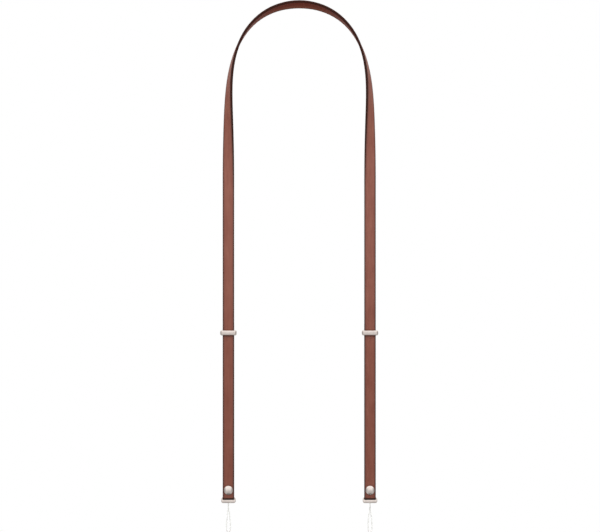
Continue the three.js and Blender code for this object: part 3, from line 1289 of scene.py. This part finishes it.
    def _mark_leather(self, obj: Piece, places: Sequence[CutPlace]) -> None:
        """Store at each point its place on the leather as cut and its distance from a cut edge."""
        sizes = self.leather
        mesh = obj.data
        ring_size = len(mesh.vertices) // len(places)
        for name, kind in (("cut", "FLOAT_VECTOR"), ("rim", "FLOAT"), ("bend", "FLOAT")):
            mesh.attributes.new(name, kind, "POINT")
        cut, rim, bend = (mesh.attributes[name] for name in ("cut", "rim", "bend"))
        for index, vertex in enumerate(mesh.vertices):
            place = places[index // ring_size]
            station = place.station
            away = vertex.co - station.middle
            across = away.dot(station.side)
            through = away.dot(station.face)
            cut.data[index].vector = (across, place.along * MM, through)
            from_side = station.width / 2 - abs(across)
            rim.data[index].value = min(from_side, (place.from_end + self.tip_rim) * MM)
            # bend drives the painted shade in the fold.
            bend.data[index].value = place.from_fold * MM
        log.info("strap: %d sections of %d points, %.1f mm of leather on each side of the crown",
                 len(places), ring_size, places[-1].along)

    def _mirror_marks(self, obj: Piece) -> None:
        """Count the length along the left half the other way from the crown."""
        mesh = obj.data
        cut = mesh.attributes["cut"]
        for index, vertex in enumerate(mesh.vertices):
            if vertex.co.x < 0:
                across, along, through = cut.data[index].vector
                cut.data[index].vector = (across, -along, through)

    def _press_round_snap(self, obj: Piece, places: Sequence[CutPlace]) -> None:
        """Mark the leather, then press the front down where the snap's cap sits."""
        bpy.ops.object.mode_set(mode="OBJECT")
        self._mark_leather(obj, places)
        bpy.ops.object.mode_set(mode="EDIT")
        sizes = self.leather
        centre = (Vector((self.leg_across, -sizes.half, -sizes.snap_drop)) + self.offset) * MM
        reach = (self.cap_radius - self.press_inset) * MM

        def under_cap(vertex: bpy.types.MeshVertex) -> bool:
            away = vertex.co - centre
            return abs(away.y) < self.press_layer * MM and math.hypot(away.x, away.z) < reach

        pick(obj, "VERT", under_cap)
        bpy.ops.transform.translate(
            value=(0, self.press_depth * MM, 0),
            use_proportional_edit=True,
            use_proportional_connected=True,
            proportional_edit_falloff="SMOOTH",
            proportional_size=self.press_reach * MM,
        )


# ---------------------------------------------------------------- keepers


@dataclass
class Keeper:
    """A domed metal band round both layers of a leg."""

    leg: Leg
    thickness: float = 2.4 * MM
    rim: float = 0.8 * MM
    fullness: float = 0.587
    corner: float = 0.6 * MM
    corner_steps: int = 8

    def build(self, finishes: Finishes) -> Piece:
        """Sweep the band round the leg and dress it.

        Args:
            finishes: the part's finishes.

        Returns:
            The finished keeper.
        """
        node = self.leg.node("keeper")
        low, high = cad_box(node)
        middle = (low + high) / 2
        half_width = (high.x - low.x) / 2 - self.thickness - self.corner
        half_depth = (high.y - low.y) / 2 - self.thickness - self.corner
        stations = []
        for quarter in (3, 2, 1, 0):
            across = 1 if quarter in (0, 3) else -1
            back = 1 if quarter < 2 else -1
            heart = middle + Vector((across * half_width, back * half_depth, 0))
            for share in evenly(1, 0, self.corner_steps):
                angle = math.pi / 2 * (quarter + share)
                out = Vector((math.cos(angle), math.sin(angle), 0))
                stations.append(Station(heart + out * self.corner, out, Vector((0, 0, 1))))
        outline = Domed(self.thickness, high.z - low.z, self.rim, self.fullness)
        obj = sweep(node + "_band", outline, stations, joined=True)
        close_edit(obj, 40)
        return settle(obj, finishes.metal, Slot.METAL, f"{self.leg.value}_slide", node)


# ---------------------------------------------------------------- end rings


@dataclass
class EndRing:
    """A metal ring with a slim bar in the leather's fold and a heavy bar for the cord."""

    leg: Leg
    side_width: float = 1.52 * MM
    top_depth: float = 1.3 * MM
    side_depth: float = 2.6 * MM
    bottom_depth: float = 3.8 * MM
    top_height: float = 1.3 * MM
    bottom_height: float = 3.58 * MM
    corner_top: float = 2.8 * MM
    corner_bottom: float = 1.9 * MM
    corner_inside: float = 0.5 * MM
    corner_steps: int = 8
    edge_share: float = 0.34
    socket_spread: float = 1.25 * MM
    socket_radius: float = 0.825 * MM
    socket_depth: float = 1.9 * MM

    def _stations(self, low: Vector, high: Vector) -> list[Station]:
        """List the ring's sections, anticlockwise from the right.

        Args:
            low: the lowest corner of the ring's box.
            high: its highest corner.

        Returns:
            The sections.
        """
        corners = (
            (1, 1, self.corner_top, self.side_depth, self.top_depth),
            (-1, 1, self.corner_top, self.top_depth, self.side_depth),
            (-1, -1, self.corner_bottom, self.side_depth, self.bottom_depth),
            (1, -1, self.corner_bottom, self.bottom_depth, self.side_depth),
        )
        centre = ((low.x + high.x) / 2, (low.y + high.y) / 2)
        half = (high.x - low.x) / 2
        stations = []
        for quarter, (across, up, radius, start, end) in enumerate(corners):
            slot_edge = high.z - self.top_height if up > 0 else low.z + self.bottom_height
            inner = (half - self.side_width, slot_edge, self.corner_inside)
            outer = (half, high.z if up > 0 else low.z, radius)
            for share in evenly(0, 1, self.corner_steps):
                angle = math.pi / 2 * (quarter + share)
                way = Vector((math.cos(angle), 0, math.sin(angle)))
                inside = self._corner(centre, (across, up), *inner, way)
                outside = self._corner(centre, (across, up), *outer, way)
                place = (inside + outside) / 2
                out = (outside - inside).normalized()
                size = (outside - inside).length
                depth = start + (end - start) * share
                stations.append(Station(place, out, Vector((0, 1, 0)), size, depth))
        return stations

    @staticmethod
    def _corner(
        centre: tuple[float, float],
        quadrant: tuple[int, int],
        half: float,
        edge: float,
        radius: float,
        way: Vector,
    ) -> Vector:
        """Return the point on a rounded corner that faces a way; half is across, edge is up."""
        middle, back = centre
        across, up = quadrant
        heart = Vector((middle + across * (half - radius), back, edge - up * radius))
        return heart + way * radius

    def _cut_socket(self, obj: Piece, low: Vector, high: Vector) -> None:
        """Cut the oblong socket for the cord's two ends into the underside."""
        length = self.socket_spread + 2 * self.socket_radius
        outline = Outline(2 * self.socket_radius, length, FULL_ROUND * self.socket_radius, 8)
        cutter = outline.draw("socket_cutter")
        foot = Vector(((low.x + high.x) / 2, (low.y + high.y) / 2, low.z - self.socket_depth))
        bpy.ops.transform.translate(value=foot)
        bpy.ops.mesh.extrude_region_move(
            TRANSFORM_OT_translate={"value": (0, 0, 2 * self.socket_depth)}
        )
        close_edit(cutter, 30)
        apply_modifier(obj, "BOOLEAN", operation="DIFFERENCE", object=cutter, solver="EXACT")
        bpy.data.objects.remove(cutter)

    def build(self, finishes: Finishes) -> Piece:
        """Sweep the ring, cut its socket and dress it.

        Args:
            finishes: the part's finishes.

        Returns:
            The finished ring.
        """
        node = self.leg.node("end_ring")
        low, high = cad_box(node)
        stations = self._stations(low, high)
        start = stations[0]
        outline = Outline(start.width, start.height, self.edge_share * start.width, 5)
        obj = sweep(node + "_metal", outline, stations, joined=True)
        close_edit(obj, 40)
        self._cut_socket(obj, low, high)
        bpy.ops.object.shade_smooth_by_angle(angle=math.radians(35))
        return settle(obj, finishes.metal, Slot.METAL, ROOT_BODY, node)


# ---------------------------------------------------------------- snaps


@dataclass
class Snap:
    """A snap through both layers: a domed cap with its post in front and a washer behind."""

    leg: Leg
    cap_rim: float = 0.5 * MM
    cap_sunk: float = 0.4 * MM
    dome_tilt: float = 48.0
    dome_top: float = 4.0
    dome_steps: int = 14
    post_radius: float = 1.3 * MM
    post_edge: float = 0.3 * MM
    seat_step: float = 0.12 * MM
    bore: float = 1.6 * MM
    washer_edge: float = 0.35 * MM
    sides: int = 64

    def _disc(self, name: str, radius: float, depth: float, middle: Sequence[float]) -> Piece:
        """Start a piece with an upright disc that faces forwards, open for editing."""
        clear_selection()
        bpy.ops.mesh.primitive_cylinder_add(
            vertices=self.sides,
            radius=radius,
            depth=depth,
            location=middle,
            rotation=(math.pi / 2, 0, 0),
        )
        return take_primitive(name)

    def _build_cap(self, finishes: Finishes) -> Piece:
        """Raise the dome from a disc and draw the post out of its back."""
        node = self.leg.node("snap_cap")
        low, high = cad_box(node)
        radius = (high.x - low.x) / 2
        tilts = evenly(self.dome_tilt, self.dome_top, self.dome_steps)
        angles = [math.radians(degrees) for degrees in tilts]
        ball = radius / math.sin(angles[0])
        rim = self.cap_rim + self.cap_sunk
        seat = low.y + ball * (1 - math.cos(angles[0])) + rim
        axis = ((low.x + high.x) / 2, seat - rim / 2, (low.z + high.z) / 2)
        obj = self._disc(node + "_dome", radius, rim, axis)
        pick(obj, "FACE", facing(Vector((0, -1, 0))))
        for outer, inner in pairwise(angles):
            step_in = ball * (math.sin(outer) - math.sin(inner))
            step_up = ball * (math.cos(inner) - math.cos(outer))
            bpy.ops.mesh.inset(thickness=step_in, depth=step_up)
        pick(obj, "FACE", facing(Vector((0, 1, 0))))
        bpy.ops.mesh.inset(thickness=self.seat_step, depth=0)
        bpy.ops.mesh.inset(thickness=radius - self.seat_step - self.post_radius, depth=0)
        bpy.ops.mesh.extrude_region_move(
            TRANSFORM_OT_translate={"value": (0, high.y - seat - self.post_edge, 0)}
        )
        bpy.ops.mesh.inset(thickness=self.post_edge, depth=self.post_edge)
        close_edit(obj, 40)
        return settle(obj, finishes.metal, Slot.METAL, ROOT_BODY, node)

    def _build_washer(self, finishes: Finishes) -> Piece:
        """Open a disc into a washer with rounded edges."""
        node = self.leg.node("snap_back")
        low, high = cad_box(node)
        radius = (high.x - low.x) / 2
        obj = self._disc(node + "_washer", radius, high.y - low.y, (low + high) / 2)
        pick(obj, "FACE", lambda face: abs(face.normal.y) > 0.99)
        bpy.ops.mesh.inset(thickness=radius - self.bore, depth=0)
        bpy.ops.mesh.bridge_edge_loops()
        pick(obj, "EDGE", self._is_back_edge(obj, high.y))
        bpy.ops.mesh.bevel(offset=self.washer_edge, segments=4, affect="EDGES")
        close_edit(obj, 40)
        return settle(obj, finishes.metal, Slot.METAL, ROOT_BODY, node)

    @staticmethod
    def _is_back_edge(obj: Piece, back: float) -> Callable[[bpy.types.MeshEdge], bool]:
        """Return a test that accepts the two round edges of the washer's back."""
        centre = middle_of_mesh(obj)

        def test(edge: bpy.types.MeshEdge) -> bool:
            one, other = (obj.data.vertices[index].co for index in edge.vertices)
            near = abs(one.y - back) < 1e-6 and abs(other.y - back) < 1e-6
            reach_one = math.hypot(one.x - centre.x, one.z - centre.z)
            reach_other = math.hypot(other.x - centre.x, other.z - centre.z)
            return near and abs(reach_one - reach_other) < 0.05 * MM

        return test

    def build(self, finishes: Finishes) -> list[Piece]:
        """Model and dress the snap.

        Args:
            finishes: the part's finishes.

        Returns:
            The cap and the washer.
        """
        return [self._build_cap(finishes), self._build_washer(finishes)]


# ---------------------------------------------------------------- cord loops


@dataclass(frozen=True)
class StrandPoint:
    """A point on a strand of the cord loop: out from and behind its middle line, and down."""

    out: float
    back: float
    down: float


CORD_STRAND = tuple(
    StrandPoint(*point)
    for point in (
        (0, 0.625, -1.6), (0, 0.625, 0), (0.08, 0.62, 3), (0.32, 0.56, 6), (0.74, 0.36, 8.5),
        (1.04, 0.16, 11), (1.3, 0.05, 14), (1.62, 0, 18), (1.9, 0, 21), (2.05, 0, 24.2),
        (1.95, 0, 27.1), (1.6, 0, 28.85), (0.9, 0, 29.9), (0, 0, 30.25),
    )
)


@dataclass
class CordLoop:
    """A thin cord that leaves the end ring, hangs in a long drop and goes back into the ring."""

    leg: Leg
    diameter: float = 1.05 * MM
    sides: int = 12
    steps: int = 130

    def build(self, finishes: Finishes) -> Piece:
        """Sweep the cord along its route, mark its lay and dress it.

        Args:
            finishes: the part's finishes.

        Returns:
            The finished cord loop.
        """
        node = self.leg.node("cord_loop")
        ring_low, ring_high = cad_box(self.leg.node("end_ring"))
        start = Vector(((ring_low.x + ring_high.x) / 2, (ring_low.y + ring_high.y) / 2, ring_low.z))
        strand = [
            Vector((point.out, self.leg.sign * point.back, -point.down)) * MM
            for point in CORD_STRAND
        ]
        other = [Vector((-place.x, -place.y, place.z)) for place in strand[-2::-1]]
        route = smooth_route([start + place for place in [*strand, *other]], self.steps)
        stations = [self._station(route, index) for index in range(len(route))]
        rounding = HALF_ROUND * self.diameter
        outline = Outline(self.diameter, self.diameter, rounding, self.sides // 4)
        obj = sweep(node + "_cord", outline, stations)
        close_edit(obj, 60)
        self._mark_lay(obj, stations)
        settle(obj, finishes.cord, Slot.CORD, ROOT_BODY, node)
        return obj

    @staticmethod
    def _station(route: Sequence[Vector], index: int) -> Station:
        """Return the cord's section at a place on its route."""
        before = route[max(index - 1, 0)]
        after = route[min(index + 1, len(route) - 1)]
        ahead = (after - before).normalized()
        side = Vector((0, 1, 0)).cross(ahead).normalized()
        return Station(route[index], side, ahead.cross(side))

    def _mark_lay(self, obj: Piece, stations: Sequence[Station]) -> None:
        """Store at each point the share of a turn round the cord and the length along it."""
        mesh = obj.data
        ring_size = len(mesh.vertices) // len(stations)
        lay = mesh.attributes.new("lay", "FLOAT_VECTOR", "CORNER")
        reached = running_length([station.middle for station in stations])

        def share_of_turn(index: int) -> float:
            station = stations[index // ring_size]
            away = mesh.vertices[index].co - station.middle
            return math.atan2(away.dot(station.face), away.dot(station.side)) / (2 * math.pi)

        for face in mesh.polygons:
            shares = [share_of_turn(index) for index in face.vertices]
            wraps = max(shares) - min(shares) > 0.5
            for loop, index, share in zip(face.loop_indices, face.vertices, shares):
                turn = share + 1 if wraps and share < 0 else share
                lay.data[loop].vector = (turn, reached[index // ring_size], 0)


# ---------------------------------------------------------------- assembly


def main() -> None:
    """Put up the studio, then model and dress each sub-assembly in order."""
    logging.basicConfig(level=logging.INFO, format="%(name)s: %(message)s")
    Studio().build()
    finishes = Finishes()
    for leg in Leg:
        CordLoop(leg).build(finishes)
    Strap().build(finishes)
    for leg in Leg:
        Keeper(leg).build(finishes)
        EndRing(leg).build(finishes)
        Snap(leg).build(finishes)
    clear_selection()


if __name__ == "__main__":
    main()
